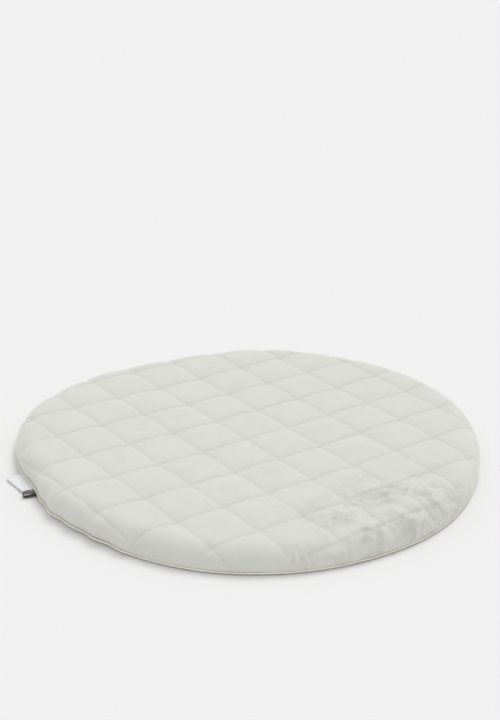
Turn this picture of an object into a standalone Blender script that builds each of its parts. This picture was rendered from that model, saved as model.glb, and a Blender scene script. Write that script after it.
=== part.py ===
# Round quilted play mat lying on the floor: a padded velvet disc over a plain cotton panel,
# with a folded label and a tape loop in the seam. Metres, +Z up, middle of the mat at the
# origin, floor at z = 0.

import math
from itertools import product

import bpy
import bmesh
from mathutils import Vector
from mathutils.geometry import delaunay_2d_cdt

# Driving sizes of the mat
MAT_RADIUS = 0.500
RIM_HEIGHT = 0.054          # top of the padding just inside the shoulder
SHOULDER_RUN = 0.045        # how far in from the side the shoulder reaches
SIDE_LENGTH = 0.075         # cloth from the shoulder's inner line down to the seam
BULGE_ABOVE_SEAM = 0.005    # the fullest line of the side above the seam
BULGE_RAISED = 0.008        # the same along the raised opening
SEAM_INSET = 0.0022         # the cover's seam lies this far in from the lip's edge
SEAM_INSET_RAISED = 0.0047  # the same along the raised opening
TUCK_FROM = 0.80            # share of the side from which it is drawn in to the seam
CHANNELS_END = 0.86         # share of the side at which the stitched channels fade out
PIECE_GAP = 0.0003

# The rim stands a little higher at the left and right than at the front and back
RISE_LEFT_RIGHT = 0.006
RISE_FRONT_BACK = -0.001
RISE_DIAGONAL = 0.002

# Base panel
PANEL_THICKNESS = 0.0020
LIP_LIFT = 0.0035           # the panel's edge above the floor
LIP_REACH = 0.060           # width of the edge zone that turns up
RING_INSETS = (0.0, 0.020, 0.040, 0.060)

# The raised opening at the front left, as angles round the mat
RAISED_FROM = 180.0
RAISED_TO = 246.0
RAISED_EXTRA = 0.0045
RAISE_FADE_IN = 14.0
RAISE_FADE_OUT = 12.0
WAVE_FROM = 206.0
WAVE_LENGTH = 8.2           # degrees from crest to crest
WAVE_HEIGHT = 0.0012
WAVE_REACH = 0.0030
WAVE_FADE = 6.0

# Swells of the outline: middle and spread in degrees, height in metres
OUTLINE_SWELLS = (
    dict(angle=36, spread=24, height=0.014),
    dict(angle=74, spread=22, height=0.013),
    dict(angle=120, spread=20, height=-0.021),
    dict(angle=168, spread=21, height=0.014),
    dict(angle=201.5, spread=6, height=-0.007),
    dict(angle=210, spread=20, height=-0.011),
    dict(angle=217, spread=6.5, height=0.006),
    dict(angle=263, spread=20, height=0.012),
    dict(angle=285, spread=13, height=0.004),
    dict(angle=345, spread=27, height=-0.015),
)

# Quilting: two sets of stitched lines that cross nearly square
QUILT_PITCH_A = 0.1102
QUILT_PITCH_B = 0.1110
QUILT_ANGLE = 35.7
QUILT_SKEW = 1.35
QUILT_ORIGIN = (0.0755, 0.0405)
CHANNEL_DEPTH = 0.0045
CHANNEL_SLOPE = 0.011       # distance over which a channel closes
CROSSING_DEPTH = 0.0028     # extra depth where two lines cross
CROSSING_SPREAD = 0.020
LINES_EACH_WAY = 6
CELL_STEPS = (0.0, 0.035, 0.13, 0.33, 0.67, 0.87, 0.965)

# The stitched lines bow slightly, in metres at the rim
BOW_X_BY_YY = 0.008
BOW_Y_BY_XX = 0.009
BOW_Y_BY_XY = 0.014
BOW_Y_BY_YY = -0.008

# Slow unevenness of the padding: waves with their length, direction and phase in degrees
LUMPS = (
    dict(length=0.30, direction=0, phase=75, height=0.0006),
    dict(length=0.37, direction=90, phase=20, height=0.0006),
    dict(length=0.25, direction=45, phase=120, height=0.0004),
)

# Puckers up the side: angle in degrees, length, half width, height, lean in degrees
PUCKERS = (
    dict(angle=265.0, length=0.036, width=0.0055, height=0.0016, lean=-32),
    dict(angle=277.4, length=0.042, width=0.0055, height=0.0018, lean=-14),
    dict(angle=280.0, length=0.048, width=0.0055, height=0.0020, lean=4),
    dict(angle=282.8, length=0.040, width=0.0055, height=0.0018, lean=24),
    dict(angle=291.0, length=0.042, width=0.0060, height=0.0016, lean=2),
    dict(angle=325.0, length=0.032, width=0.0055, height=0.0018, lean=-12),
)
PUCKER_ROWS = 5
PUCKER_COLUMNS = (-3.0, -1.9, -1.0, 0.0, 1.0, 1.9, 3.0)
PUCKER_CLEARANCE = 0.0042
PUCKER_START = 0.004        # their lower ends above the seam
PUCKER_RANGE = 4.0          # widths past which a pucker is not felt
TROUGH_AWAY = 1.9           # the troughs beside a ridge, in widths
TROUGH_SHARE = 0.6          # their depth as a share of the ridge's height

# Mesh steps
RIM_POINTS = 192
RIM_BAND = 0.008            # the ring of points just inside the seam
RIM_CLEARANCE = 0.0125      # quilting points keep this far from the seam
SIDE_RINGS = (0.06, 0.20, 0.34, 0.48, 0.61, 0.74)
SIDE_POINTS = 144
POINT_CLEARANCE = 0.0065

# Label, sewn under the lip by one long side and folded over
LABEL_FROM = 194.2
LABEL_TO = 203.0
LABEL_STEPS = 12
LABEL_THICKNESS = 0.0010
LABEL_ROOT = 0.0055         # how far it goes in under the lip
LABEL_REACH = 0.031
LABEL_TAPER = 0.009         # it reaches less far at its end by the loop
LABEL_CREST = 0.0008
LABEL_TIP_HEIGHT = 0.0038
LABEL_TURN_RADIUS = 0.0013
LABEL_TURN_STEPS = 6
LABEL_SWAY = 0.0012         # how far its edge wanders along the seam
LABEL_WAVES = 1.3

# How label and loop leave the seam, as shares of their reach and of their crest
ROOT_CLEARANCE = 0.0006     # their roots lie this far under the panel
FOLD_RISE_AT = 0.10
FOLD_RISE = 0.35
FOLD_CREST_AT = 0.42

# Tape loop, sewn under the lip by its two ends
LOOP_ANGLE = 205.0
LOOP_WIDTH = 0.011
LOOP_THICKNESS = 0.0013
LOOP_ROOT = 0.0050
LOOP_REACH = 0.026
LOOP_CREST = 0.0030
LOOP_TIP_HEIGHT = 0.0052
LOOP_TURN_RADIUS = 0.0042
LOOP_ROOT_SPREAD = 0.0024   # the two ends one above the other
LOOP_TURN_STEPS = 10
LOOP_STATIONS = (-0.5, -0.17, 0.17, 0.5)    # across the tape, as shares of its width

# Colours, linear
VELVET_COLOUR = (0.640, 0.645, 0.600, 1.0)
COTTON_COLOUR = (0.800, 0.790, 0.730, 1.0)
LABEL_COLOUR = (0.900, 0.900, 0.890, 1.0)
TAPE_COLOUR = (0.045, 0.040, 0.036, 1.0)


def clear_scene():
    for item in list(bpy.data.objects):
        bpy.data.objects.remove(item, do_unlink=True)


def smooth_step(value):
    value = min(max(value, 0.0), 1.0)
    return value * value * (3.0 - 2.0 * value)


def turn_between(angle, middle):
    """Signed difference of two angles in degrees, -180 to 180."""
    return (angle - middle + 180.0) % 360.0 - 180.0


# The outline and the seam

def raised_share(angle):
    """How far the opening at the front left lifts the seam, 0 to 1."""
    angle = angle % 360.0
    fade_in = smooth_step((angle - RAISED_FROM) / RAISE_FADE_IN)
    return fade_in * smooth_step((RAISED_TO - angle) / RAISE_FADE_OUT)


def wave_share(angle):
    """Waviness of the raised edge, -1 to 1, still near the label and the loop."""
    angle = angle % 360.0
    fade_in = smooth_step((angle - WAVE_FROM) / WAVE_FADE)
    fade_out = smooth_step((RAISED_TO - angle) / WAVE_FADE)
    return fade_in * fade_out * math.sin(2.0 * math.pi * (angle - WAVE_FROM) / WAVE_LENGTH)


def outline_radius(angle):
    """Radius of the lip all round, with the swells of the cloth."""
    radius = MAT_RADIUS
    for swell in OUTLINE_SWELLS:
        away = turn_between(angle, swell["angle"]) / swell["spread"]
        radius += swell["height"] * math.exp(-away * away)
    return radius + WAVE_REACH * wave_share(angle)


def lip_lift(angle):
    """Height of the underside of the panel's edge over the floor."""
    return LIP_LIFT + RAISED_EXTRA * raised_share(angle) + WAVE_HEIGHT * wave_share(angle)


def ring_rise(angle, inset):
    """Height of the panel's underside on a ring of the mesh."""
    share = max(0.0, 1.0 - inset / LIP_REACH)
    return lip_lift(angle) * share * share


def panel_underside(angle, inset):
    """Height of the panel's underside, straight between its rings as the mesh is."""
    for outer, inner in zip(RING_INSETS, RING_INSETS[1:]):
        if inset <= inner:
            share = (inset - outer) / (inner - outer)
            return ring_rise(angle, outer) * (1.0 - share) + ring_rise(angle, inner) * share
    return 0.0


def polar_point(angle, radius, height):
    turn = math.radians(angle)
    return (radius * math.cos(turn), radius * math.sin(turn), height)


def rim_angles():
    return [360.0 * i / RIM_POINTS for i in range(RIM_POINTS)]


def outer_edge(angle):
    """Radius of the edge on the straight chord between two points of the rim."""
    step = 360.0 / RIM_POINTS
    low = math.floor(angle / step) * step
    share = (angle - low) / step
    return outline_radius(low) * (1.0 - share) + outline_radius(low + step) * share


# The quilting

def quilt_axes():
    """Steps of the two sets of lines, as plan vectors."""
    turn = math.radians(QUILT_ANGLE)
    lean = math.radians(QUILT_ANGLE + QUILT_SKEW)
    step_a = Vector((math.cos(turn), math.sin(turn))) * QUILT_PITCH_A
    step_b = Vector((-math.sin(lean), math.cos(lean))) * QUILT_PITCH_B
    return step_a, step_b


def quilt_bow(x, y):
    """How far the cloth has bowed at a place, in metres."""
    x, y = x / MAT_RADIUS, y / MAT_RADIUS
    bow_x = BOW_X_BY_YY * y * y
    bow_y = BOW_Y_BY_XX * x * x + BOW_Y_BY_XY * x * y + BOW_Y_BY_YY * y * y
    return bow_x, bow_y


def quilt_point(a, b):
    """Place on the flat cloth of quilt coordinates a, b; whole numbers are stitched lines."""
    step_a, step_b = quilt_axes()
    x = QUILT_ORIGIN[0] + a * step_a.x + b * step_b.x
    y = QUILT_ORIGIN[1] + a * step_a.y + b * step_b.y
    bow_x, bow_y = quilt_bow(x, y)
    return x + bow_x, y + bow_y


def quilt_coordinates(x, y):
    bow_x, bow_y = quilt_bow(x, y)
    x, y = x - bow_x - QUILT_ORIGIN[0], y - bow_y - QUILT_ORIGIN[1]
    step_a, step_b = quilt_axes()
    area = step_a.x * step_b.y - step_a.y * step_b.x
    a = (x * step_b.y - y * step_b.x) / area
    b = (step_a.x * y - step_a.y * x) / area
    return a, b


def channel_depth(x, y):
    """Depth of the stitched channels at a place on the flat cloth."""
    a, b = quilt_coordinates(x, y)
    from_a = abs(a - round(a)) * QUILT_PITCH_A
    from_b = abs(b - round(b)) * QUILT_PITCH_B
    near_a = math.exp(-from_a / CHANNEL_SLOPE)
    near_b = math.exp(-from_b / CHANNEL_SLOPE)
    crossing = math.exp(-(from_a ** 2 + from_b ** 2) / (2.0 * CROSSING_SPREAD ** 2))
    return CHANNEL_DEPTH * (1.0 - (1.0 - near_a) * (1.0 - near_b)) + CROSSING_DEPTH * crossing


# The pad's surface, as a flat cloth rolled over the shoulder

def flat_radius(angle):
    """Radius of the flat cloth out to the seam."""
    return outline_radius(angle) - SHOULDER_RUN + SIDE_LENGTH


def top_height(x, y):
    """Upper envelope of the padding."""
    u, v = x / MAT_RADIUS, y / MAT_RADIUS
    rise = RISE_LEFT_RIGHT * u * u + RISE_FRONT_BACK * v * v + RISE_DIAGONAL * u * v
    for lump in LUMPS:
        turn = math.radians(lump["direction"])
        along = x * math.cos(turn) + y * math.sin(turn)
        phase = 2.0 * math.pi * along / lump["length"] + math.radians(lump["phase"])
        rise += lump["height"] * math.sin(phase)
    return RIM_HEIGHT + rise


def seam_inset(angle):
    return SEAM_INSET + (SEAM_INSET_RAISED - SEAM_INSET) * raised_share(angle)


def seam_point(angle):
    """Radius and height of the pad's seam line, just above the panel."""
    inset = seam_inset(angle)
    height = panel_underside(angle, inset) + PANEL_THICKNESS + PIECE_GAP
    return outline_radius(angle) - inset, height


def pucker_centre(pucker, along):
    """Place on the flat cloth of a pucker's ridge, along it from the seam upward."""
    start = flat_radius(pucker["angle"]) - PUCKER_START
    turn = math.radians(pucker["angle"])
    inward = turn + math.pi + math.radians(pucker["lean"])
    reach = along * pucker["length"]
    x = start * math.cos(turn) + reach * math.cos(inward)
    y = start * math.sin(turn) + reach * math.sin(inward)
    return x, y, inward


def pucker_height(x, y):
    """Raised gathers of the cover near the seam."""
    total = 0.0
    for pucker in PUCKERS:
        base_x, base_y, inward = pucker_centre(pucker, 0.0)
        off_x, off_y = x - base_x, y - base_y
        along = (off_x * math.cos(inward) + off_y * math.sin(inward)) / pucker["length"]
        across = (off_y * math.cos(inward) - off_x * math.sin(inward)) / pucker["width"]
        if abs(across) > PUCKER_RANGE:
            continue
        fade = smooth_step((1.1 - along) / 0.8) * smooth_step((along + 0.2) / 0.3)
        trough = math.exp(-(abs(across) - TROUGH_AWAY) ** 2)
        total += pucker["height"] * fade * (math.exp(-across * across) - TROUGH_SHARE * trough)
    return total


def pad_point(x, y):
    """Place in space of a point of the flat quilted cloth."""
    reach = math.hypot(x, y)
    angle = math.degrees(math.atan2(y, x)) % 360.0
    side_start = flat_radius(angle) - SIDE_LENGTH
    down = min(max((reach - side_start) / SIDE_LENGTH, 0.0), 1.0)
    depth = channel_depth(x, y) - pucker_height(x, y)
    if down <= 0.0:
        return (x, y, top_height(x, y) - depth)
    share = side_start / reach
    crown = top_height(x * share, y * share)
    seam_radius, seam_height = seam_point(angle)
    bulge = BULGE_ABOVE_SEAM + (BULGE_RAISED - BULGE_ABOVE_SEAM) * raised_share(angle)
    bulge_height = seam_height + bulge
    below = math.asin(bulge / (crown - bulge_height))
    roll = (1.0 - down) * math.pi / 2 - down * below
    radius = side_start + SHOULDER_RUN * math.cos(roll)
    height = bulge_height + (crown - bulge_height) * math.sin(roll)
    end_radius = side_start + SHOULDER_RUN * math.cos(below)
    radius += (seam_radius - end_radius) * smooth_step((down - TUCK_FROM) / (1.0 - TUCK_FROM))
    depth *= 1.0 - smooth_step((down - CHANNELS_END) / (1.0 - CHANNELS_END))
    radius -= depth * math.cos(roll)
    height -= depth * math.sin(roll)
    return polar_point(angle, radius, height)


def plan_angle(point):
    return math.degrees(math.atan2(point.y, point.x)) % 360.0


def flat_ring(inset, count):
    """Points of a ring of the flat cloth, at an inset from the seam."""
    ring = []
    for i in range(count):
        angle = 360.0 * i / count
        ring.append(Vector(polar_point(angle, flat_radius(angle) - inset, 0.0)).to_2d())
    return ring


def clear_of(point, others, distance):
    return all((point - other).length > distance for other in others)


def gather_points():
    """Points on the ridges and troughs of the puckers."""
    points = []
    for pucker in PUCKERS:
        for row in range(PUCKER_ROWS):
            x, y, inward = pucker_centre(pucker, (row + 0.35) / PUCKER_ROWS)
            for column in PUCKER_COLUMNS:
                shift = column * pucker["width"]
                point = Vector((x - shift * math.sin(inward), y + shift * math.cos(inward)))
                inside = point.length < flat_radius(plan_angle(point)) - RIM_CLEARANCE
                if inside and clear_of(point, points, PUCKER_CLEARANCE):
                    points.append(point)
    return points


def lattice_points():
    """Points along the stitched lines and across each quilted cell."""
    points = []
    lines = range(-LINES_EACH_WAY, LINES_EACH_WAY)
    for line_a, line_b in product(lines, lines):
        for step_a, step_b in product(CELL_STEPS, CELL_STEPS):
            point = Vector(quilt_point(line_a + step_a, line_b + step_b))
            if point.length < flat_radius(plan_angle(point)) - RIM_CLEARANCE:
                points.append(point)
    return points


def flat_points():
    """Points of the flat cloth: the seam, a ring inside it, puckers, quilting and side."""
    seam = flat_ring(0.0, RIM_POINTS)
    band = flat_ring(RIM_BAND, RIM_POINTS)
    gathers = gather_points()
    lattice = [p for p in lattice_points() if clear_of(p, gathers, POINT_CLEARANCE)]
    near_rim = MAT_RADIUS - 2.0 * SHOULDER_RUN
    outer = gathers + [p for p in lattice if p.length > near_rim]
    side = []
    for share in SIDE_RINGS:
        for point in flat_ring(SIDE_LENGTH * (1.0 - share), SIDE_POINTS):
            if clear_of(point, outer, POINT_CLEARANCE):
                side.append(point)
    return seam, band, gathers + lattice + side


def pad_mesh():
    """Closed solid of the pad: quilted top and side, then the underside over the panel."""
    seam, band, inner = flat_points()
    ring = [(i, (i + 1) % RIM_POINTS) for i in range(RIM_POINTS)]
    laid, _, faces, _, _, _ = delaunay_2d_cdt(seam + band + inner, ring, [], 1, 1e-7)
    points = [pad_point(p.x, p.y) for p in laid]
    triangles = []
    for face in faces:
        corners = [laid[i] for i in face]
        turn = (corners[1] - corners[0]).cross(corners[2] - corners[0])
        triangles.append(tuple(face) if turn > 0 else tuple(reversed(face)))
    previous = list(range(RIM_POINTS))
    for i, angle in enumerate(rim_angles()):
        radius, height = seam_point(angle)
        points[i] = polar_point(angle, radius, height)
    for inset in RING_INSETS[1:]:
        start = len(points)
        for angle in rim_angles():
            height = panel_underside(angle, inset) + PANEL_THICKNESS + PIECE_GAP
            points.append(polar_point(angle, outline_radius(angle) - inset, height))
        current = list(range(start, start + RIM_POINTS))
        triangles += band_faces(current, previous)
        previous = current
    points.append((0.0, 0.0, PANEL_THICKNESS + PIECE_GAP))
    triangles += fan_faces(previous, len(points) - 1, up=False)
    return points, triangles


def band_faces(inner, outer):
    """Triangles between two rings, facing down when the first ring is the inner one."""
    faces = []
    for i in range(len(inner)):
        j = (i + 1) % len(inner)
        faces.append((outer[i], inner[i], inner[j]))
        faces.append((outer[i], inner[j], outer[j]))
    return faces


def fan_faces(ring, centre, up):
    faces = []
    for i in range(len(ring)):
        j = (i + 1) % len(ring)
        faces.append((ring[i], ring[j], centre) if up else (ring[j], ring[i], centre))
    return faces


def panel_mesh():
    """Closed solid of the base panel: a flat sheet whose edge turns up to the lip."""
    points = []
    triangles = []
    layers = []
    for lift in (0.0, PANEL_THICKNESS):
        rings = []
        for inset in RING_INSETS:
            start = len(points)
            for angle in rim_angles():
                height = panel_underside(angle, inset) + lift
                points.append(polar_point(angle, outline_radius(angle) - inset, height))
            rings.append(list(range(start, start + RIM_POINTS)))
        points.append((0.0, 0.0, lift))
        layers.append((rings, len(points) - 1))
    (low_rings, low_centre), (high_rings, high_centre) = layers
    for outer, inner in zip(low_rings, low_rings[1:]):
        triangles += band_faces(inner, outer)
    for outer, inner in zip(high_rings, high_rings[1:]):
        triangles += [tuple(reversed(face)) for face in band_faces(inner, outer)]
    triangles += fan_faces(low_rings[-1], low_centre, up=False)
    triangles += fan_faces(high_rings[-1], high_centre, up=True)
    triangles += band_faces(low_rings[0], high_rings[0])
    return points, triangles


# The label and the loop, swept along the seam from a folded section

def seam_frame(angle):
    """Point of the lip's edge, the outward direction and the direction along the seam."""
    step = 0.5
    before = Vector(polar_point(angle - step, outer_edge(angle - step), 0.0))
    after = Vector(polar_point(angle + step, outer_edge(angle + step), 0.0))
    along = (after - before).normalized()
    outward = Vector((along.y, -along.x, 0.0))
    return Vector(polar_point(angle, outer_edge(angle), 0.0)), outward, along


def offset_path(path, shift):
    """The path moved sideways by a signed distance, mitred at its corners."""
    moved = []
    for i, point in enumerate(path):
        before = path[max(i - 1, 0)]
        after = path[min(i + 1, len(path) - 1)]
        ahead = (after - point).normalized() if i < len(path) - 1 else (point - before).normalized()
        behind = (point - before).normalized() if i > 0 else ahead
        middle = (ahead + behind).normalized()
        normal = Vector((-middle.y, middle.x))
        moved.append(point + normal * shift / max(middle.dot(ahead), 0.5))
    return moved


def fold_section(root, reach, root_high, crest, tip_height, turn_radius, root_low, steps):
    """Middle line of a folded strip: out on top, round the fold and back below."""
    path = [Vector((-root, root_high))]
    path.append(Vector((FOLD_RISE_AT * reach, root_high + FOLD_RISE * crest)))
    path.append(Vector((FOLD_CREST_AT * reach, root_high + crest)))
    centre = Vector((reach - turn_radius, tip_height))
    for i in range(steps + 1):
        turn = math.pi / 2 - math.pi * i / steps
        path.append(centre + Vector((math.cos(turn), math.sin(turn))) * turn_radius)
    path.append(Vector((FOLD_CREST_AT * reach, centre.y - turn_radius)))
    path.append(Vector((-root, root_low)))
    return path


def sweep_strip(stations, thickness):
    """Closed solid of a strip whose section path is given at each station along it."""
    points = []
    faces = []
    count = 0
    for origin, outward, path in stations:
        upper = offset_path(path, thickness / 2.0)
        lower = offset_path(path, -thickness / 2.0)
        loop = upper + lower[::-1]
        count = len(loop)
        for place in loop:
            points.append(origin + outward * place.x + Vector((0.0, 0.0, place.y)))
    for k in range(len(stations) - 1):
        for i in range(count):
            j = (i + 1) % count
            faces.append((k * count + i, k * count + j, (k + 1) * count + j, (k + 1) * count + i))
    half = count // 2
    last = (len(stations) - 1) * count
    for i in range(half - 1):
        mate = count - 1 - i
        faces.append((i, mate, mate - 1, i + 1))
        faces.append((last + i, last + i + 1, last + mate - 1, last + mate))
    return points, faces


def label_mesh():
    """Folded label: its long side goes in under the lip, its fold lies near the floor."""
    stations = []
    for k in range(LABEL_STEPS + 1):
        share = k / LABEL_STEPS
        angle = LABEL_FROM + (LABEL_TO - LABEL_FROM) * share
        origin, outward, _ = seam_frame(angle)
        under = panel_underside(angle, LABEL_ROOT) - ROOT_CLEARANCE - LABEL_THICKNESS / 2.0
        sway = LABEL_SWAY * math.sin(2.0 * math.pi * LABEL_WAVES * share + 0.5)
        section = fold_section(
            root=LABEL_ROOT,
            reach=LABEL_REACH - LABEL_TAPER * share * share + 0.6 * sway,
            root_high=under,
            crest=LABEL_CREST + 0.5 * sway,
            tip_height=LABEL_TIP_HEIGHT + 0.5 * sway,
            turn_radius=LABEL_TURN_RADIUS,
            root_low=under - 2.0 * LABEL_TURN_RADIUS,
            steps=LABEL_TURN_STEPS,
        )
        stations.append((origin, outward, section))
    return sweep_strip(stations, LABEL_THICKNESS)


def loop_mesh():
    """Tape loop: both ends in under the lip, the bight standing open."""
    stations = []
    origin, outward, along = seam_frame(LOOP_ANGLE)
    under = panel_underside(LOOP_ANGLE, LOOP_ROOT) - ROOT_CLEARANCE - LOOP_THICKNESS / 2.0
    for side in LOOP_STATIONS:
        section = fold_section(
            root=LOOP_ROOT,
            reach=LOOP_REACH,
            root_high=under,
            crest=LOOP_CREST,
            tip_height=LOOP_TIP_HEIGHT,
            turn_radius=LOOP_TURN_RADIUS,
            root_low=under - LOOP_ROOT_SPREAD,
            steps=LOOP_TURN_STEPS,
        )
        stations.append((origin + along * side * LOOP_WIDTH, outward, section))
    return sweep_strip(stations, LOOP_THICKNESS)


# Materials

def cloth_material(name, colour, roughness, sheen):
    material = bpy.data.materials.new(name)
    material.use_nodes = True
    shader = material.node_tree.nodes["Principled BSDF"]
    shader.inputs["Base Color"].default_value = colour
    shader.inputs["Roughness"].default_value = roughness
    shader.inputs["Metallic"].default_value = 0.0
    shader.inputs["Sheen Weight"].default_value = sheen
    material.diffuse_color = colour
    return material


def add_piece(name, shape, material, sharp_angle=40.0):
    points, faces = shape
    mesh = bpy.data.meshes.new(name)
    mesh.from_pydata([tuple(p) for p in points], [], faces)
    work = bmesh.new()
    work.from_mesh(mesh)
    bmesh.ops.recalc_face_normals(work, faces=work.faces)
    work.to_mesh(mesh)
    work.free()
    mesh.materials.append(material)
    mesh.shade_smooth()
    mesh.set_sharp_from_angle(angle=math.radians(sharp_angle))
    piece = bpy.data.objects.new(name, mesh)
    bpy.context.scene.collection.objects.link(piece)
    return piece


def build_mat():
    clear_scene()
    velvet = cloth_material("stone_velvet", VELVET_COLOUR, roughness=0.90, sheen=0.30)
    cotton = cloth_material("cream_cotton", COTTON_COLOUR, roughness=0.90, sheen=0.0)
    satin = cloth_material("white_label_satin", LABEL_COLOUR, roughness=0.55, sheen=0.0)
    tape = cloth_material("charcoal_tape", TAPE_COLOUR, roughness=0.85, sheen=0.0)
    add_piece("quilted_pad", pad_mesh(), velvet)
    add_piece("base_panel", panel_mesh(), cotton)
    add_piece("woven_label", label_mesh(), satin)
    add_piece("side_loop", loop_mesh(), tape)


build_mat()
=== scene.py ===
# Round quilted play mat on a pale studio floor: a padded velvet cover over a cotton panel,
# with a folded satin label and a tape loop in its seam. Metres, +Z up, floor at z = 0.

import math

import bmesh
import bpy
from mathutils import Matrix, Vector, noise
from mathutils.geometry import delaunay_2d_cdt


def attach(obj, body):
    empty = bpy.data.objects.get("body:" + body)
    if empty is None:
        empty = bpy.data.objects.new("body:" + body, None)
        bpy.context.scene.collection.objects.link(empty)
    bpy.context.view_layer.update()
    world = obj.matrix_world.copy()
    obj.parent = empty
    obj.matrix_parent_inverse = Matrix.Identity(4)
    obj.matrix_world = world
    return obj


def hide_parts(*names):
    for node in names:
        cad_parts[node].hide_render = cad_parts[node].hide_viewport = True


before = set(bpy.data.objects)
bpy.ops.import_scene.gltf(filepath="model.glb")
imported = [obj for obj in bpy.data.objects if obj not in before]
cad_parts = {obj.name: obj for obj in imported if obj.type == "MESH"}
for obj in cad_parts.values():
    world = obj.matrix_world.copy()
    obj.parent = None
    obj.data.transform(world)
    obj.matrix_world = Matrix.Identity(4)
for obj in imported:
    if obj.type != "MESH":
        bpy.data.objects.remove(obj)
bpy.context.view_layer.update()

# Shape of the mat, as its source has it, in metres and degrees
outline = {
    "radius": 0.500,
    "lipLift": 0.0035,          # the panel's edge above the floor
    "lipReach": 0.060,          # width of the edge that turns up
    "panelThickness": 0.0020,
    "pieceGap": 0.0003,
    "raised": (180.0, 246.0),   # the edge stands higher between these angles
    "raisedExtra": 0.0045,
    "raiseFades": (14.0, 12.0),
    "waveFrom": 206.0,
    "waveLength": 8.2,
    "waveHeight": 0.0012,
    "waveReach": 0.0030,
    "waveFade": 6.0,
    # angle, spread and height of each swell of the outline
    "swells": ((36, 24, 0.014), (74, 22, 0.013), (120, 20, -0.021), (168, 21, 0.014),
               (201.5, 6, -0.007), (210, 20, -0.011), (217, 6.5, 0.006), (263, 20, 0.012),
               (285, 13, 0.004), (345, 27, -0.015)),
}

quilting = {
    "pitchA": 0.1102,
    "pitchB": 0.1110,
    "angle": 35.7,
    "skew": 1.35,
    "origin": (0.0755, 0.0405),
    "depth": 0.0045,
    "slope": 0.0085,
    "crossingDepth": 0.0028,
    "crossingSpread": 0.020,
    "linesEachWay": 6,
    # how far the stitched lines bow, in metres at the rim
    "bowX": 0.008,
    "bowY": (0.009, 0.014, -0.008),
}

padding = {
    "rimHeight": 0.054,
    "shoulderRun": 0.045,
    "sideLength": 0.075,
    # along most of the rim, and along its raised part
    "bulgeAboveSeam": (0.005, 0.008),
    "seamInset": (0.0022, 0.0047),
    "tuckFrom": 0.80,
    "channelsFade": 0.30,
    "channelsEnd": 0.86,
    "rise": (0.006, -0.001, 0.002),     # left and right, front and back, diagonal
    # length, direction, phase and height of each slow wave of the filling
    "lumps": ((0.30, 0, 75, 0.0006), (0.37, 90, 20, 0.0006), (0.25, 45, 120, 0.0004)),
    # angle, length, half width, height and lean of each pucker up the side
    "puckers": ((265.0, 0.036, 0.0042, 0.0020, -32), (277.4, 0.042, 0.0042, 0.0026, -14),
                (280.0, 0.048, 0.0042, 0.0028, 4), (282.8, 0.040, 0.0042, 0.0026, 24),
                (291.0, 0.042, 0.0044, 0.0022, 2), (325.0, 0.032, 0.0042, 0.0024, -12)),
}


def smoothStep(value):
    value = min(max(value, 0.0), 1.0)
    return value * value * (3.0 - 2.0 * value)


def polarPoint(angle, radius, height):
    turn = math.radians(angle)
    return Vector((radius * math.cos(turn), radius * math.sin(turn), height))


def planAngle(x, y):
    return math.degrees(math.atan2(y, x)) % 360.0


# The outline and the seam

def raisedShare(angle):
    start, end = outline["raised"]
    fadeIn, fadeOut = outline["raiseFades"]
    angle = angle % 360.0
    return smoothStep((angle - start) / fadeIn) * smoothStep((end - angle) / fadeOut)


def waveShare(angle):
    angle = angle % 360.0
    start, end = outline["waveFrom"], outline["raised"][1]
    fade = smoothStep((angle - start) / outline["waveFade"])
    fade *= smoothStep((end - angle) / outline["waveFade"])
    return fade * math.sin(2.0 * math.pi * (angle - start) / outline["waveLength"])


def outlineRadius(angle):
    radius = outline["radius"] + outline["waveReach"] * waveShare(angle)
    for middle, spread, height in outline["swells"]:
        away = ((angle - middle + 180.0) % 360.0 - 180.0) / spread
        radius += height * math.exp(-away * away)
    return radius


def panelUnderside(angle, inset):
    share = max(0.0, 1.0 - max(inset, 0.0) / outline["lipReach"])
    lift = outline["lipLift"] + outline["raisedExtra"] * raisedShare(angle)
    return (lift + outline["waveHeight"] * waveShare(angle)) * share * share


def alongRim(values, angle):
    usual, raised = values
    return usual + (raised - usual) * raisedShare(angle)


def seamPoint(angle):
    inset = alongRim(padding["seamInset"], angle)
    height = panelUnderside(angle, inset) + outline["panelThickness"] + outline["pieceGap"]
    return outlineRadius(angle) - inset, height


def flatRadius(angle):
    return outlineRadius(angle) - padding["shoulderRun"] + padding["sideLength"]


# The quilting

def quiltAxes():
    turn = math.radians(quilting["angle"])
    lean = math.radians(quilting["angle"] + quilting["skew"])
    stepA = Vector((math.cos(turn), math.sin(turn))) * quilting["pitchA"]
    stepB = Vector((-math.sin(lean), math.cos(lean))) * quilting["pitchB"]
    return stepA, stepB


stepA, stepB = quiltAxes()
cellArea = stepA.x * stepB.y - stepA.y * stepB.x


def quiltBow(x, y):
    u, v = x / outline["radius"], y / outline["radius"]
    across, both, deep = quilting["bowY"]
    return quilting["bowX"] * v * v, across * u * u + both * u * v + deep * v * v


def quiltPoint(a, b):
    x = quilting["origin"][0] + a * stepA.x + b * stepB.x
    y = quilting["origin"][1] + a * stepA.y + b * stepB.y
    bowX, bowY = quiltBow(x, y)
    return x + bowX, y + bowY


def quiltCoordinates(x, y):
    bowX, bowY = quiltBow(x, y)
    x, y = x - bowX - quilting["origin"][0], y - bowY - quilting["origin"][1]
    a = (x * stepB.y - y * stepB.x) / cellArea
    b = (stepA.x * y - stepA.y * x) / cellArea
    return a, b


def lineDistances(x, y):
    # how far a place is from the nearest stitched line of each set
    a, b = quiltCoordinates(x, y)
    return abs(a - round(a)) * quilting["pitchA"], abs(b - round(b)) * quilting["pitchB"]


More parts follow.
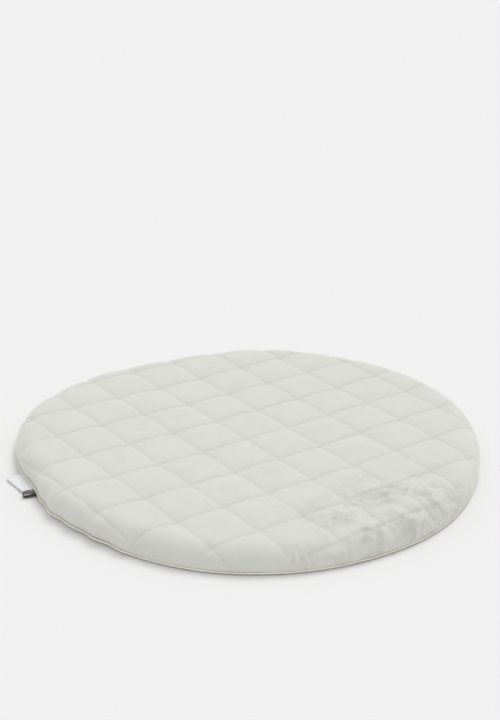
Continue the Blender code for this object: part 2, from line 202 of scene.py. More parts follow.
def channelDepth(x, y):
    fromA, fromB = lineDistances(x, y)
    nearA = math.exp(-fromA / quilting["slope"])
    nearB = math.exp(-fromB / quilting["slope"])
    crossing = math.exp(-(fromA ** 2 + fromB ** 2) / (2.0 * quilting["crossingSpread"] ** 2))
    sewn = quilting["depth"] * (1.0 - (1.0 - nearA) * (1.0 - nearB))
    return sewn + quilting["crossingDepth"] * crossing


# The cover: a flat quilted cloth rolled over the shoulder down to the seam

def topHeight(x, y):
    u, v = x / outline["radius"], y / outline["radius"]
    sides, ends, diagonal = padding["rise"]
    rise = sides * u * u + ends * v * v + diagonal * u * v
    for length, direction, phase, height in padding["lumps"]:
        turn = math.radians(direction)
        along = x * math.cos(turn) + y * math.sin(turn)
        rise += height * math.sin(2.0 * math.pi * along / length + math.radians(phase))
    return padding["rimHeight"] + rise


def padPoint(x, y, depth):
    reach = math.hypot(x, y)
    angle = planAngle(x, y)
    sideStart = flatRadius(angle) - padding["sideLength"]
    down = min(max((reach - sideStart) / padding["sideLength"], 0.0), 1.0)
    if down <= 0.0:
        return Vector((x, y, topHeight(x, y) - depth))
    share = sideStart / reach
    crown = topHeight(x * share, y * share)
    seamRadius, seamHeight = seamPoint(angle)
    bulgeRise = alongRim(padding["bulgeAboveSeam"], angle)
    bulge = seamHeight + bulgeRise
    below = math.asin(bulgeRise / (crown - bulge))
    roll = (1.0 - down) * math.pi / 2 - down * below
    radius = sideStart + padding["shoulderRun"] * math.cos(roll)
    height = bulge + (crown - bulge) * math.sin(roll)
    endRadius = sideStart + padding["shoulderRun"] * math.cos(below)
    tuck = smoothStep((down - padding["tuckFrom"]) / (1.0 - padding["tuckFrom"]))
    radius += (seamRadius - endRadius) * tuck
    fade, ends = padding["channelsFade"], padding["channelsEnd"]
    depth *= 1.0 - smoothStep((down - fade) / (ends - fade))
    return polarPoint(angle, radius - depth * math.cos(roll), height - depth * math.sin(roll))


cover = {
    "stepsPerCell": 16,         # mesh steps across a quilted cell, before it is subdivided
    "rimPoints": 288,
    "bandInset": 0.005,
    "latticeInset": 0.010,
    "onLine": 0.0008,           # points this near a stitched line are held
    "undersideInsets": (0.008, 0.020, 0.040, 0.060),
    "startSlack": 0.0012,       # the cells start this far down and are blown up from there
    "pressure": 4.0,
    "frames": 20,
    "cap": 0.005,
    "keep": 0.45,               # share of the simulated move that is kept
    "grooveDepth": 0.0011,      # the stitched line itself, below its soft channel
    "grooveWidth": 0.0022,
    "pressedPileAndShadeWidth": 0.0050,
    "pressedPileAndShade": (0.25, 0.03),    # painted shade in the stitched lines, partly pressed pile, for the lines along and across the pile
    "drawHeight": 0.00028,      # small draws of the cloth across the stitched lines
    "drawLength": 0.016,
    "drawReach": 0.010,
    "unevenness": ((0.085, 0.00070), (0.034, 0.00032)),     # size and height
    "gatherHeight": 0.00080,    # soft gathers above the seam
    "gatherSize": 0.030,
}


def ringOfCloth(inset, count):
    ring = []
    for i in range(count):
        angle = 360.0 * i / count
        ring.append(polarPoint(angle, flatRadius(angle) - inset, 0.0).to_2d())
    return ring


def latticeCells():
    # whole mesh cells of the flat cloth, on the lines of the quilting
    steps = cover["stepsPerCell"]
    span = quilting["linesEachWay"] * steps
    inside = {}
    for i in range(-span, span):
        for j in range(-span, span):
            x, y = quiltPoint(i / steps, j / steps)
            if math.hypot(x, y) < flatRadius(planAngle(x, y)) - cover["latticeInset"]:
                inside[i, j] = Vector((x, y))
    corners = ((0, 0), (1, 0), (1, 1), (0, 1))
    cells = [(i, j) for i, j in inside if all((i + p, j + q) in inside for p, q in corners)]
    used = sorted({(i + p, j + q) for i, j in cells for p, q in corners})
    number = {key: n for n, key in enumerate(used)}
    faces = [tuple(number[i + p, j + q] for p, q in corners) for i, j in cells]
    return [inside[key] for key in used], faces, set(cells)


def bandFaces(inner, outer):
    count = len(inner)
    pairs = [(i, (i + 1) % count) for i in range(count)]
    return [(outer[i], inner[i], inner[j], outer[j]) for i, j in pairs]


def flatCover():
    # the lattice, then triangles from its stepped edge out to the round seam
    places, faces, cells = latticeCells()
    edgeUse = {}
    for face in faces:
        for p, q in zip(face, face[1:] + face[:1]):
            edgeUse[frozenset((p, q))] = edgeUse.get(frozenset((p, q)), 0) + 1
    openEdges = [tuple(edge) for edge, uses in edgeUse.items() if uses == 1]
    border = sorted({p for edge in openEdges for p in edge})
    local = {p: n for n, p in enumerate(border)}
    count = cover["rimPoints"]
    rings = ringOfCloth(cover["bandInset"], count) + ringOfCloth(0.0, count)
    base = len(border)
    edges = [(local[p], local[q]) for p, q in openEdges]
    for start in (base, base + count):
        edges += [(start + i, start + (i + 1) % count) for i in range(count)]
    strip = [places[p] for p in border] + rings
    laid, _, triangles, _, _, _ = delaunay_2d_cdt(strip, edges, [], 1, 1e-7)
    steps = cover["stepsPerCell"]
    number = border + list(range(len(places), len(places) + len(rings)))
    for triangle in triangles:
        middle = sum((laid[p] for p in triangle), Vector((0.0, 0.0))) / 3
        a, b = quiltCoordinates(middle.x, middle.y)
        if (math.floor(a * steps), math.floor(b * steps)) not in cells:
            faces.append(tuple(number[p] for p in triangle))
    return places + rings, faces


def coverStart():
    # closed form of the pad before it is blown up, with each point's place on the flat cloth
    places, faces = flatCover()
    count = cover["rimPoints"]
    points, flats, pins = [], [], []
    for n, place in enumerate(places):
        channel = channelDepth(place.x, place.y)
        slack = cover["startSlack"] * (1.0 - channel / quilting["depth"])
        points.append(padPoint(place.x, place.y, channel + max(slack, 0.0)))
        flats.append((place.x, place.y, 0.0))
        onLine = min(lineDistances(place.x, place.y)) < cover["onLine"]
        pins.append(1.0 if onLine or n >= len(places) - 2 * count else 0.0)
    previous = list(range(len(places) - count, len(places)))
    for inset in cover["undersideInsets"]:
        ring = []
        for i in range(count):
            angle = 360.0 * i / count
            height = panelUnderside(angle, inset) + outline["panelThickness"]
            ring.append(len(points))
            points.append(polarPoint(angle, outlineRadius(angle) - inset,
                                     height + outline["pieceGap"]))
            flats.append((points[-1].x, points[-1].y, 1.0))
            pins.append(1.0)
        faces += bandFaces(ring, previous)
        previous = ring
    centre = len(points)
    points.append(Vector((0.0, 0.0, outline["panelThickness"] + outline["pieceGap"])))
    flats.append((0.0, 0.0, 1.0))
    pins.append(1.0)
    faces += [(previous[(i + 1) % count], previous[i], centre) for i in range(count)]
    seam = len(places) - count
    return points, faces, flats, pins, [(seam + i, seam + (i + 1) % count) for i in range(count)]


def meshObject(name, points, faces):
    mesh = bpy.data.meshes.new(name)
    mesh.from_pydata([tuple(p) for p in points], [], faces)
    work = bmesh.new()
    work.from_mesh(mesh)
    bmesh.ops.recalc_face_normals(work, faces=work.faces)
    work.to_mesh(mesh)
    work.free()
    mesh.shade_smooth()
    made = bpy.data.objects.new(name, mesh)
    bpy.context.scene.collection.objects.link(made)
    return made


def evaluatedCopy(piece):
    bpy.context.view_layer.update()
    graph = bpy.context.evaluated_depsgraph_get()
    return bpy.data.meshes.new_from_object(piece.evaluated_get(graph), depsgraph=graph)


def applyModifiers(piece):
    done = evaluatedCopy(piece)
    piece.modifiers.clear()
    old, piece.data = piece.data, done
    bpy.data.meshes.remove(old)


def blowUp(piece, pins):
    # cloth under pressure, held along the stitched lines and the seam
    group = piece.vertex_groups.new(name="sewn")
    group.add([n for n, pin in enumerate(pins) if pin], 1.0, "REPLACE")
    cloth = piece.modifiers.new("cloth", "CLOTH")
    cloth.settings.quality = 5
    cloth.settings.mass = 0.3
    cloth.settings.tension_stiffness = 25
    cloth.settings.compression_stiffness = 25
    cloth.settings.shear_stiffness = 10
    cloth.settings.bending_stiffness = 2.0
    cloth.settings.use_pressure = True
    cloth.settings.uniform_pressure_force = cover["pressure"]
    cloth.settings.vertex_group_mass = "sewn"
    cloth.settings.effector_weights.gravity = 0
    cloth.collision_settings.use_collision = False
    scene = bpy.context.scene
    for number in range(1, cover["frames"] + 1):
        scene.frame_set(number)
    blown = evaluatedCopy(piece)
    largest = 0.0
    for vertex, moved in zip(piece.data.vertices, blown.vertices):
        move = (moved.co - vertex.co) * cover["keep"]
        if move.length > cover["cap"]:
            move = move.normalized() * cover["cap"]
        largest = max(largest, move.length)
        vertex.co += move
    piece.modifiers.clear()
    piece.vertex_groups.clear()
    bpy.data.meshes.remove(blown)
    scene.frame_set(1)
    print(f"cover blown up, largest move {largest * 1000:.1f} mm")


def puckerHeight(x, y):
    total = 0.0
    for angle, length, width, height, lean in padding["puckers"]:
        turn = math.radians(angle)
        start = flatRadius(angle) - 0.004
        inward = turn + math.pi + math.radians(lean)
        offX, offY = x - start * math.cos(turn), y - start * math.sin(turn)
        along = (offX * math.cos(inward) + offY * math.sin(inward)) / length
        across = (offY * math.cos(inward) - offX * math.sin(inward)) / width
        if abs(across) < 4.0 and -0.3 < along < 1.2:
            fade = smoothStep((1.1 - along) / 0.8) * smoothStep((along + 0.2) / 0.3)
            trough = math.exp(-(abs(across) - 1.9) ** 2)
            total += height * fade * (math.exp(-across * across) - 0.6 * trough)
    return total


def fineRelief(x, y):
    # what stands proud of the blown up cover: grooves, draws, unevenness and gathers
    angle = planAngle(x, y)
    fromSeam = flatRadius(angle) - math.hypot(x, y)
    fromA, fromB = lineDistances(x, y)
    fade = smoothStep((fromSeam - 0.006) / 0.008)
    width = cover["grooveWidth"]
    groove = max(math.exp(-(fromA / width) ** 2), math.exp(-(fromB / width) ** 2))
    relief = -cover["grooveDepth"] * groove * fade
    flow = noise.noise(Vector((x, y, 0.7)) / 0.05)
    for distance, along in ((fromA, x * stepB.x + y * stepB.y), (fromB, x * stepA.x + y * stepA.y)):
        phase = along / (quilting["pitchA"] * cover["drawLength"]) + 1.4 * flow
        near = math.exp(-distance / cover["drawReach"]) * smoothStep(distance / 0.004)
        relief += cover["drawHeight"] * near * math.sin(2.0 * math.pi * phase) * fade
    for size, height in cover["unevenness"]:
        relief += height * noise.noise(Vector((x, y, 0.2)) / size)
    low = smoothStep((0.055 - fromSeam) / 0.04) * smoothStep((fromSeam - 0.003) / 0.01)
    around = Vector((angle * math.pi / 180.0 * outline["radius"], fromSeam * 0.35, 0.0))
    relief += cover["gatherHeight"] * low * noise.noise(around / cover["gatherSize"])
    return relief + puckerHeight(x, y)


def pressedPileAndShadeShare(x, y):
    # how far the pile is pressed flat beside the stitches, with painted shade in the stitched lines
    width = cover["pressedPileAndShadeWidth"]
    fromA, fromB = lineDistances(x, y)
    along, across = cover["pressedPileAndShade"]
    near = max(across * math.exp(-(fromA / width) ** 2), along * math.exp(-(fromB / width) ** 2))
    fromSeam = flatRadius(planAngle(x, y)) - math.hypot(x, y)
    patchy = 0.8 + 0.5 * noise.noise(Vector((x, y, 1.3)) / 0.06)
    return near * patchy * smoothStep((fromSeam - 0.02) / 0.03)


def makeCover():
    points, faces, flats, pins, seam = coverStart()
    piece = meshObject("quiltedCover", points, faces)
    flat = piece.data.attributes.new("flat", "FLOAT_VECTOR", "POINT")
    flat.data.foreach_set("vector", [value for place in flats for value in place])
    crease = piece.data.attributes.new("crease_edge", "FLOAT", "EDGE")
    wanted = {frozenset(pair) for pair in seam}
    for n, edge in enumerate(piece.data.edges):
        crease.data[n].value = 1.0 if frozenset(edge.vertices) in wanted else 0.0
    print(f"cover laid out, {len(points)} points")
    blowUp(piece, pins)
    finer = piece.modifiers.new("finer", "SUBSURF")
    finer.levels = finer.render_levels = 1
    applyModifiers(piece)
    mesh = piece.data
    places = [tuple(item.vector) for item in mesh.attributes["flat"].data]
    normals = [vertex.normal.copy() for vertex in mesh.vertices]
    sewn = mesh.attributes.new("sewn", "FLOAT", "POINT")
    for vertex, normal, (x, y, under) in zip(mesh.vertices, normals, places):
        if under < 0.01:
            vertex.co += normal * fineRelief(x, y)
            # painted shade in the stitched lines, partly pressed pile
            sewn.data[vertex.index].value = pressedPileAndShadeShare(x, y)
    mesh.update()
    print(f"cover finished, {len(mesh.polygons)} faces")
    return piece, places


stitches = {
    "length": 0.0031,
    "gap": 0.0011,
    "radius": 0.00032,
    "sink": 0.00005,
    "sides": 4,
    "fromSeam": 0.020,          # the quilting's stitches end this far above the seam
}


def stitchedLines(mesh, places):
    # the cover's points along each stitched line, in order
    lines = {}
    for vertex, (x, y, under) in zip(mesh.vertices, places):
        if under > 0.01 or flatRadius(planAngle(x, y)) - math.hypot(x, y) < stitches["fromSeam"]:
            continue
        a, b = quiltCoordinates(x, y)
        for name, across, along in (("a", a, b), ("b", b, a)):
            if abs(across - round(across)) < 0.004:
                lines.setdefault((name, round(across)), []).append((along, vertex.index))
    return [[n for _, n in sorted(line)] for line in lines.values() if len(line) > 8]


def makeStitches(piece, places):
    mesh = piece.data
    points, faces = [], []
    sides = stitches["sides"]
    pitch = stitches["length"] + stitches["gap"]
    shape = ((0.0, 0.35, -1.0), (0.3, 1.0, 0.0), (0.7, 1.0, 0.0), (1.0, 0.35, -1.0))
    for line in stitchedLines(mesh, places):
        spots = [mesh.vertices[n].co for n in line]
        rises = [mesh.vertices[n].normal for n in line]
        lengths = [0.0]
        for p, q in zip(spots, spots[1:]):
            lengths.append(lengths[-1] + (q - p).length)
        place, hop = 0, 0.5 * pitch
        while hop + stitches["length"] < lengths[-1]:
            rows = []
            for share, girth, sink in shape:
                goal = hop + share * stitches["length"]
                while lengths[place + 1] < goal:
                    place += 1
                part = (goal - lengths[place]) / (lengths[place + 1] - lengths[place])
                spot = spots[place].lerp(spots[place + 1], part)
                rise = rises[place].lerp(rises[place + 1], part).normalized()
                run = (spots[place + 1] - spots[place]).normalized()
                side = run.cross(rise)
                lift = stitches["radius"] * (0.4 + 0.9 * sink) - stitches["sink"]
                row = []
                for k in range(sides):
                    turn = 2.0 * math.pi * k / sides
                    out = side * math.cos(turn) + rise * math.sin(turn)
                    row.append(len(points))
                    points.append(spot + rise * lift + out * stitches["radius"] * girth)
                rows.append(row)
            faces += [tuple(rows[0]), tuple(reversed(rows[-1]))]
            for lower, upper in zip(rows, rows[1:]):
                for k in range(sides):
                    m = (k + 1) % sides
                    faces.append((lower[k], lower[m], upper[m], upper[k]))
            hop += pitch
            while place and lengths[place] > hop:
                place -= 1
    made = meshObject("quiltingStitches", points, faces)
    print(f"stitches sewn, {len(faces)} faces")
    return made


panel = {
    "points": 576,
    "insets": (0.0035, 0.006, 0.010, 0.015, 0.022, 0.030, 0.038, 0.046, 0.054, 0.062,
               0.10, 0.18, 0.28, 0.38),
    "edgeTurns": (-90, -60, -30, 0, 30, 60, 90),
    "hemSwell": 0.00050,        # the turned edge is a little fuller than the sheet
    "ripple": (0.00045, 0.016),     # height and length of the fine waviness of the edge
}


def makePanel():
    count = panel["points"]
    half = outline["panelThickness"] / 2
    profile = [(inset, 0.0, -1.0) for inset in reversed(panel["insets"])]
    for turn in panel["edgeTurns"]:
        lean = math.radians(turn)
        full = half + panel["hemSwell"]
        profile.append((full * (1.0 - math.cos(lean)), full * math.sin(lean) / half, 0.0))
    profile += [(inset, 0.0, 1.0) for inset in panel["insets"]]
    points, faces = [], []
    rings = []
    for inset, edge, side in profile:
        ring = []
        for i in range(count):
            angle = 360.0 * i / count
            high, size = panel["ripple"]
            around = polarPoint(angle, outline["radius"], 0.0) / size
            near = smoothStep(1.0 - inset / 0.004)
            ripple = high * noise.noise(around) * near
            height = panelUnderside(angle, inset) + half + half * (edge + side)
            radius = outlineRadius(angle) - inset + 0.6 * ripple
            ring.append(len(points))
            points.append(polarPoint(angle, radius, max(height + ripple, 0.0)))
        rings.append(ring)
    for inner, outer in zip(rings, rings[1:]):
        faces += bandFaces(inner, outer)
    for ring, height in ((rings[0], 0.0), (rings[-1], outline["panelThickness"])):
        points.append(Vector((0.0, 0.0, height)))
        faces += [(ring[i], ring[(i + 1) % count], len(points) - 1) for i in range(count)]
    return meshObject("cottonPanel", points, faces)


# Strips folded and sewn under the lip

def seamFrame(angle):
    before = polarPoint(angle - 0.5, outlineRadius(angle - 0.5), 0.0)
    after = polarPoint(angle + 0.5, outlineRadius(angle + 0.5), 0.0)
    along = (after - before).normalized()
    return polarPoint(angle, outlineRadius(angle), 0.0), Vector((along.y, -along.x, 0.0)), along


def foldSection(strip, rootHigh, rootLow, sway, shorter=0.0):
    # middle line of a folded strip: out on top, round the fold and back below
    root, crest = strip["root"], strip["crest"] + 0.5 * sway
    reach = strip["reach"] - shorter + 0.6 * sway
    turnRadius = strip["turnRadius"]
    path = [Vector((-root, rootHigh)), Vector((0.10 * reach, rootHigh + 0.35 * crest)),
            Vector((0.42 * reach, rootHigh + crest))]
    centre = Vector((reach - turnRadius, strip["tipHeight"] + 0.5 * sway))
    for i in range(strip["turnSteps"] + 1):
        turn = math.pi / 2 - math.pi * i / strip["turnSteps"]
        path.append(centre + Vector((math.cos(turn), math.sin(turn))) * turnRadius)
    path += [Vector((0.42 * reach, centre.y - turnRadius)), Vector((-root, rootLow))]
    return path


def offsetPath(path, shift):
    moved = []
    for i, point in enumerate(path):
        before, after = path[max(i - 1, 0)], path[min(i + 1, len(path) - 1)]
        run = (after - before).normalized()
        moved.append(point + Vector((-run.y, run.x)) * shift)
    return moved


def sweepStrip(name, stations, thickness):
    points, faces = [], []
    for origin, outward, path in stations:
        upper, lower = offsetPath(path, thickness / 2), offsetPath(path, -thickness / 2)
        for place in upper + lower[::-1]:
            points.append(origin + outward * place.x + Vector((0.0, 0.0, place.y)))
    count = 2 * len(stations[0][2])
    for k in range(len(stations) - 1):
        for i in range(count):
            j = (i + 1) % count
            near, far = k * count, (k + 1) * count
            faces.append((near + i, near + j, far + j, far + i))
    last = (len(stations) - 1) * count
    for i in range(count // 2 - 1):
        mate = count - 1 - i
        faces.append((i, mate, mate - 1, i + 1))
        faces.append((last + i, last + i + 1, last + mate - 1, last + mate))
    piece = meshObject(name, points, faces)
    finer = piece.modifiers.new("finer", "SUBSURF")
    finer.levels = finer.render_levels = 2
    applyModifiers(piece)
    return piece


label = {
    "from": 194.2,
    "to": 203.0,
    "stations": 25,
    "thickness": 0.0008,
    "root": 0.0055,
    "reach": 0.031,
    "taper": 0.009,
    "crest": 0.0008,
    "tipHeight": 0.0038,
    "turnRadius": 0.0013,
    "turnSteps": 6,
    "sway": 0.0012,
    "waves": 1.3,
    "crumple": (0.0017, 0.010),   # height and size of the soft creases
    "freeFrom": 0.010,            # the creases are full this far out
    "belowPanel": 0.0006,
    "aboveFloor": 0.0006,
}


def makeLabel():
    stations = []
    for k in range(label["stations"]):
        share = k / (label["stations"] - 1)
        angle = label["from"] + (label["to"] - label["from"]) * share
        origin, outward, _ = seamFrame(angle)
        under = panelUnderside(angle, label["root"]) - label["belowPanel"]
        under -= label["thickness"] / 2
        sway = label["sway"] * math.sin(2.0 * math.pi * label["waves"] * share + 0.5)
        section = foldSection(label, under, under - 2.0 * label["turnRadius"], sway,
                              label["taper"] * share * share)
        stations.append((origin, outward, section))
    piece = sweepStrip("foldedLabel", stations, label["thickness"])
    high, size = label["crumple"]
    for vertex in piece.data.vertices:
        reach = vertex.co.to_2d().length - outlineRadius(planAngle(vertex.co.x, vertex.co.y))
        free = smoothStep(reach / label["freeFrom"])
        spot = Vector((vertex.co.x, vertex.co.y, 0.0)) / size
        lifted = vertex.co.z + high * noise.noise(spot) * free
        vertex.co.z = max(lifted, label["aboveFloor"])
    return piece


loop = {
    "angle": 205.0,
    "width": 0.011,
    "across": (-0.5, -0.42, -0.2, 0.0, 0.2, 0.42, 0.5),
    "thickness": 0.0013,
    "root": 0.0050,
    "reach": 0.026,
    "crest": 0.0038,
    "tipHeight": 0.0052,
    "turnRadius": 0.0042,
    "turnSteps": 10,
    "rootSpread": 0.0024,
    "belowPanel": 0.0006,
}


def makeLoop():
    origin, outward, along = seamFrame(loop["angle"])
    under = panelUnderside(loop["angle"], loop["root"]) - loop["belowPanel"]
    under -= loop["thickness"] / 2
    section = foldSection(loop, under, under - loop["rootSpread"], 0.0)
    stations = [(origin + along * side * loop["width"], outward, section)
                for side in loop["across"]]
    return sweepStrip("tapeLoop", stations, loop["thickness"])


# Materials

def colourFromHex(text):
    channels = []
    for i in (0, 2, 4):
        value = int(text[i:i + 2], 16) / 255
        channels.append(value / 12.92 if value <= 0.04045 else ((value + 0.055) / 1.055) ** 2.4)
    return (*channels, 1.0)


def addNode(tree, kind, inputs=None, **settings):
    # a node with its settings; each input is a socket to link or a value to set
    made = tree.nodes.new(kind)
    for name, value in settings.items():
        setattr(made, name, value)
    for name, value in (inputs or {}).items():
        if isinstance(value, bpy.types.NodeSocket):
            tree.links.new(value, made.inputs[name])
        else:
            made.inputs[name].default_value = value
    return made


def newMaterial(name, **shaderValues):
    material = bpy.data.materials.new(name)
    material.use_nodes = True
    tree = material.node_tree
    shader = tree.nodes["Principled BSDF"]
    for socket, value in shaderValues.items():
        shader.inputs[socket.replace("_", " ")].default_value = value
    place = addNode(tree, "ShaderNodeTexCoord").outputs["Object"]
    return material, tree, shader, place


velvet = {
    "colour": "DCDDD6",
    "brushed": "BFC0B7",        # where the pile is pushed the other way
    "bare": "D6D7CF",
    "sewn": "BDBEB4",           # along the stitches: pressed pile with painted shade in the stitched lines
    "roughness": 0.90,
    "sheen": 0.55,
    "sheenRoughness": 0.35,
    "sheenTint": "F4F4EE",
    "shine": 0.15,
    "patchSize": 0.060,         # broad patches of turned pile
    "markSize": 0.032,          # small brushed marks
    "pileSize": 0.0016,         # real pile is 0.3 mm; coarser so that it shows
    "brushedPlace": (0.32, -0.38, 0.03),
    "brushedReach": (0.12, 0.27),
    "brushedElsewhere": 0.12,   # share of the marks that is left beyond that reach
    "markRange": (0.32, 0.70, 0.95),    # noise where marks start and are full, and how full
    "patchRange": (0.26, 0.58),
    "bump": (0.35, 0.0004),     # strength and height of the pile's relief
}


def makeVelvet():
    # short brushed polyester velvet: dull from above, pale along its edges, with turned pile
    material, tree, shader, place = newMaterial(
        "stoneVelvet", Roughness=velvet["roughness"], Sheen_Weight=velvet["sheen"],
        Sheen_Roughness=velvet["sheenRoughness"], Sheen_Tint=colourFromHex(velvet["sheenTint"]))
    shader.inputs["Specular IOR Level"].default_value = velvet["shine"]
    patches = addNode(tree, "ShaderNodeTexNoise", {
        "Vector": place, "Scale": 1 / velvet["patchSize"], "Detail": 3.0, "Roughness": 0.55})
    marks = addNode(tree, "ShaderNodeTexNoise", {
        "Vector": place, "Scale": 1 / velvet["markSize"], "Detail": 4.0, "Roughness": 0.6,
        "Distortion": 0.8})
    away = addNode(tree, "ShaderNodeVectorMath", {0: place, 1: velvet["brushedPlace"]},
                   operation="DISTANCE")
    near, far = velvet["brushedReach"]
    zone = addNode(tree, "ShaderNodeMapRange", {
        "Value": away.outputs["Value"], "From Min": near, "From Max": far,
        "To Min": 1.0, "To Max": velvet["brushedElsewhere"]},
        interpolation_type="SMOOTHSTEP")
    start, full, most = velvet["markRange"]
    turned = addNode(tree, "ShaderNodeMapRange", {
        "Value": marks.outputs["Fac"], "From Min": start, "From Max": full,
        "To Min": 0.0, "To Max": most}, interpolation_type="SMOOTHSTEP")
    thin, thick = velvet["patchRange"]
    broad = addNode(tree, "ShaderNodeMapRange", {
        "Value": patches.outputs["Fac"], "From Min": thin, "From Max": thick})
    marked = addNode(tree, "ShaderNodeMath", {
        0: turned.outputs["Result"], 1: zone.outputs["Result"]}, operation="MULTIPLY")
    both = addNode(tree, "ShaderNodeMath", {
        0: marked.outputs[0], 1: broad.outputs["Result"]}, operation="MULTIPLY")
    soft = addNode(tree, "ShaderNodeMapRange", {
        "Value": patches.outputs["Fac"], "From Min": 0.3, "From Max": 0.75,
        "To Min": 0.0, "To Max": 0.35})
    tone = addNode(tree, "ShaderNodeMix", {
        0: soft.outputs["Result"], 6: colourFromHex(velvet["colour"]),
        7: colourFromHex(velvet["bare"])}, data_type="RGBA")
    colour = addNode(tree, "ShaderNodeMix", {
        0: both.outputs[0], 6: tone.outputs[2],
        7: colourFromHex(velvet["brushed"])}, data_type="RGBA")
    # painted shade in the stitched lines, partly pressed pile, read from the sewn attribute
    sewn = addNode(tree, "ShaderNodeAttribute", attribute_name="sewn")
    pressedPileAndShade = addNode(tree, "ShaderNodeMix", {
        0: sewn.outputs["Fac"], 6: colour.outputs[2],
        7: colourFromHex(velvet["sewn"])}, data_type="RGBA")
    tree.links.new(pressedPileAndShade.outputs[2], shader.inputs["Base Color"])
    pile = addNode(tree, "ShaderNodeTexNoise", {
        "Vector": place, "Scale": 1 / velvet["pileSize"], "Detail": 3.0, "Roughness": 0.6})
    heights = addNode(tree, "ShaderNodeMath", {
        0: marked.outputs[0], 1: 1.6, 2: pile.outputs["Fac"]}, operation="MULTIPLY_ADD")
    strength, height = velvet["bump"]
    bump = addNode(tree, "ShaderNodeBump", {
        "Height": heights.outputs[0], "Strength": strength, "Distance": height})
    tree.links.new(bump.outputs["Normal"], shader.inputs["Normal"])
    return material


cotton = {
    "colour": "F8F6EE",
    "shade": "ECE9DD",
    "thread": 0.0012,           # real yarns are 0.4 mm; coarser so that the weave shows
    "roughness": 0.92,
    "slubSize": 0.018,
}


def makeCotton():
    # plain woven unbleached cotton: matt, creamy, a crossed grain with slubs
    material, tree, shader, place = newMaterial(
        "creamCotton", Roughness=cotton["roughness"], Sheen_Weight=0.12)
    shader.inputs["Specular IOR Level"].default_value = 0.2
    grain = {}
    for axis in ("X", "Y"):
        grain[axis] = addNode(tree, "ShaderNodeTexWave", {
            "Vector": place, "Scale": 2 * math.pi / (20 * cotton["thread"]),
            "Distortion": 0.6, "Detail": 1.0}, bands_direction=axis)
    weave = addNode(tree, "ShaderNodeMath", {
        0: grain["X"].outputs["Fac"], 1: grain["Y"].outputs["Fac"]}, operation="MULTIPLY")
    slubs = addNode(tree, "ShaderNodeTexNoise", {
        "Vector": place, "Scale": 1 / cotton["slubSize"], "Detail": 4.0})
    tone = addNode(tree, "ShaderNodeMapRange", {
        "Value": slubs.outputs["Fac"], "From Min": 0.35, "From Max": 0.7})
    colour = addNode(tree, "ShaderNodeMix", {
        0: tone.outputs["Result"], 6: colourFromHex(cotton["colour"]),
        7: colourFromHex(cotton["shade"])}, data_type="RGBA")
    tree.links.new(colour.outputs[2], shader.inputs["Base Color"])
    bump = addNode(tree, "ShaderNodeBump", {
        "Height": weave.outputs[0], "Strength": 0.5, "Distance": 0.0003})
    tree.links.new(bump.outputs["Normal"], shader.inputs["Normal"])
    return material


satin = {"colour": "F6F7FA", "shade": "E4E5EA", "roughness": 0.42, "rib": 0.0009}


def makeSatin():
    # polyester label satin: smooth, bluish white, a fine rib along it and a soft shine
    material, tree, shader, place = newMaterial(
        "whiteLabelSatin", Roughness=satin["roughness"], Sheen_Weight=0.1)
    rib = addNode(tree, "ShaderNodeTexWave", {
        "Vector": place, "Scale": 2 * math.pi / (20 * satin["rib"]), "Distortion": 0.3},
        bands_direction="Y")
    wear = addNode(tree, "ShaderNodeTexNoise", {"Vector": place, "Scale": 140.0, "Detail": 3.0})
    colour = addNode(tree, "ShaderNodeMix", {
        0: wear.outputs["Fac"], 6: colourFromHex(satin["colour"]),
        7: colourFromHex(satin["shade"])}, data_type="RGBA")
    tree.links.new(colour.outputs[2], shader.inputs["Base Color"])
    bump = addNode(tree, "ShaderNodeBump", {
        "Height": rib.outputs["Fac"], "Strength": 0.25, "Distance": 0.0002})
    tree.links.new(bump.outputs["Normal"], shader.inputs["Normal"])
    return material


tape = {"colour": "4A4440", "light": "6A625C", "roughness": 0.82, "rib": 0.0014}


def makeTape():
    # woven polyester twill tape: matt charcoal brown, with slanting ribs
    material, tree, shader, place = newMaterial(
        "charcoalTape", Roughness=tape["roughness"], Sheen_Weight=0.2)
    rib = addNode(tree, "ShaderNodeTexWave", {
        "Vector": place, "Scale": 2 * math.pi / (20 * tape["rib"]), "Distortion": 0.5},
        bands_direction="DIAGONAL")
    colour = addNode(tree, "ShaderNodeMix", {
        0: rib.outputs["Fac"], 6: colourFromHex(tape["colour"]),
        7: colourFromHex(tape["light"])}, data_type="RGBA")
    tree.links.new(colour.outputs[2], shader.inputs["Base Color"])
    bump = addNode(tree, "ShaderNodeBump", {
        "Height": rib.outputs["Fac"], "Strength": 0.6, "Distance": 0.0003})
    tree.links.new(bump.outputs["Normal"], shader.inputs["Normal"])
    return material


thread = {"colour": "D6D7CD", "shade": "C2C3B9", "roughness": 0.6, "ply": 0.0006}


def makeThread():
    # spun polyester sewing thread in the velvet's colour: dull, twisted
    material, tree, shader, place = newMaterial("sewingThread", Roughness=thread["roughness"])
    twist = addNode(tree, "ShaderNodeTexNoise", {
        "Vector": place, "Scale": 1 / thread["ply"], "Detail": 2.0})
    colour = addNode(tree, "ShaderNodeMix", {
        0: twist.outputs["Fac"], 6: colourFromHex(thread["colour"]),
        7: colourFromHex(thread["shade"])}, data_type="RGBA")
    tree.links.new(colour.outputs[2], shader.inputs["Base Color"])
    return material


studio = {
    "floorColour": "F0F0F0",
    "floorSize": 24.0,
    "floorHeight": -0.0004,     # just below the panel, so that the two never share a plane
    "world": (0.80, 0.73),      # at the horizon and overhead
    "keyPower": 1.04,
    "keySoftness": 32.0,
    "keyFrom": (24.0, 55.0),    # degrees right of the view's back, degrees above the floor
    "lens": 82.25,
    "cameraPlace": (-0.008, -3.188, 1.561),
    "cameraPitch": 22.77,
    "cameraRoll": 1.09,
}


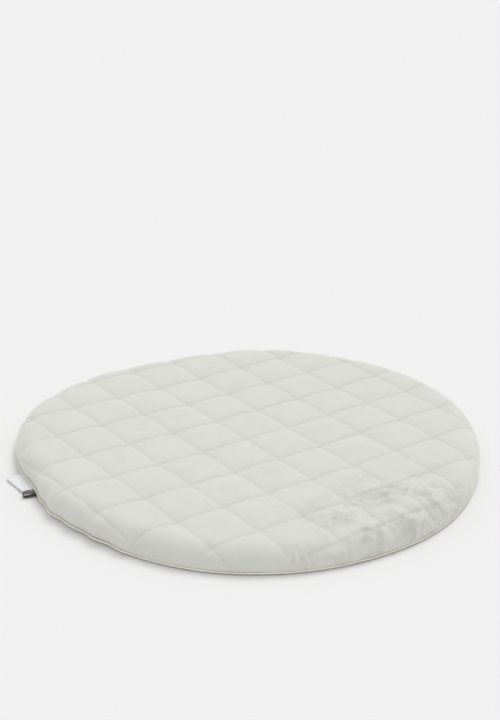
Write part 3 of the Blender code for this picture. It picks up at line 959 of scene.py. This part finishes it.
def makeFloor():
    # matt painted board, the same all over
    half, height = studio["floorSize"] / 2, studio["floorHeight"]
    corners = [(x * half, y * half, height) for x, y in ((-1, -1), (1, -1), (1, 1), (-1, 1))]
    floor = meshObject("floor", corners, [(0, 1, 2, 3)])
    material, tree, shader, place = newMaterial(
        "paintedBoard", Base_Color=colourFromHex(studio["floorColour"]), Roughness=1.0)
    shader.inputs["Specular IOR Level"].default_value = 0.0
    floor.data.materials.append(material)


def makeLights():
    world = bpy.data.worlds.new("studio")
    bpy.context.scene.world = world
    world.use_nodes = True
    tree = world.node_tree
    low, high = studio["world"]
    way = addNode(tree, "ShaderNodeTexCoord").outputs["Generated"]
    parts = addNode(tree, "ShaderNodeSeparateXYZ", {0: way})
    glow = addNode(tree, "ShaderNodeMapRange", {
        "Value": parts.outputs["Z"], "From Min": 0.0, "From Max": 0.7,
        "To Min": low, "To Max": high})
    sky = tree.nodes["Background"]
    tree.links.new(glow.outputs["Result"], sky.inputs["Strength"])
    sky.inputs["Color"].default_value = (1.0, 1.0, 1.0, 1.0)
    key = bpy.data.lights.new("key", "SUN")
    key.energy = studio["keyPower"]
    key.angle = math.radians(studio["keySoftness"])
    lamp = bpy.data.objects.new("key", key)
    bpy.context.scene.collection.objects.link(lamp)
    aside, above = (math.radians(value) for value in studio["keyFrom"])
    source = Vector((math.sin(aside) * math.cos(above), math.cos(aside) * math.cos(above),
                     math.sin(above)))
    lamp.rotation_mode = "QUATERNION"
    lamp.rotation_quaternion = source.to_track_quat("Z", "Y")


def makeCamera():
    data = bpy.data.cameras.new("camera")
    camera = bpy.data.objects.new("camera", data)
    bpy.context.scene.collection.objects.link(camera)
    data.lens = studio["lens"]
    data.sensor_width = 36.0
    data.clip_start, data.clip_end = 0.05, 60.0
    pitch, roll = math.radians(studio["cameraPitch"]), math.radians(studio["cameraRoll"])
    forward = Vector((0.0, math.cos(pitch), -math.sin(pitch)))
    level = Vector((0.0, math.sin(pitch), math.cos(pitch)))
    right = Vector((1.0, 0.0, 0.0)) * math.cos(roll) + level * math.sin(roll)
    up = Vector((-1.0, 0.0, 0.0)) * math.sin(roll) + level * math.cos(roll)
    turn = Matrix((right, up, -forward)).transposed().to_4x4()
    camera.matrix_world = Matrix.Translation(studio["cameraPlace"]) @ turn
    bpy.context.scene.camera = camera


def dress(piece, material, node=None):
    piece.data.materials.clear()
    piece.data.materials.append(material)
    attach(piece, "root")
    if node:
        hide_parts(node)


def buildScene():
    scene = bpy.context.scene
    scene.view_settings.view_transform = "Standard"
    makeCamera()
    makeLights()
    makeFloor()
    pad, places = makeCover()
    dress(pad, makeVelvet(), "quilted_pad")
    sewn = makeStitches(pad, places)
    dress(sewn, makeThread())
    base = makePanel()
    dress(base, makeCotton(), "base_panel")
    tag = makeLabel()
    dress(tag, makeSatin(), "woven_label")
    hanger = makeLoop()
    dress(hanger, makeTape(), "side_loop")
    print("label, loop and panel made")


buildScene()
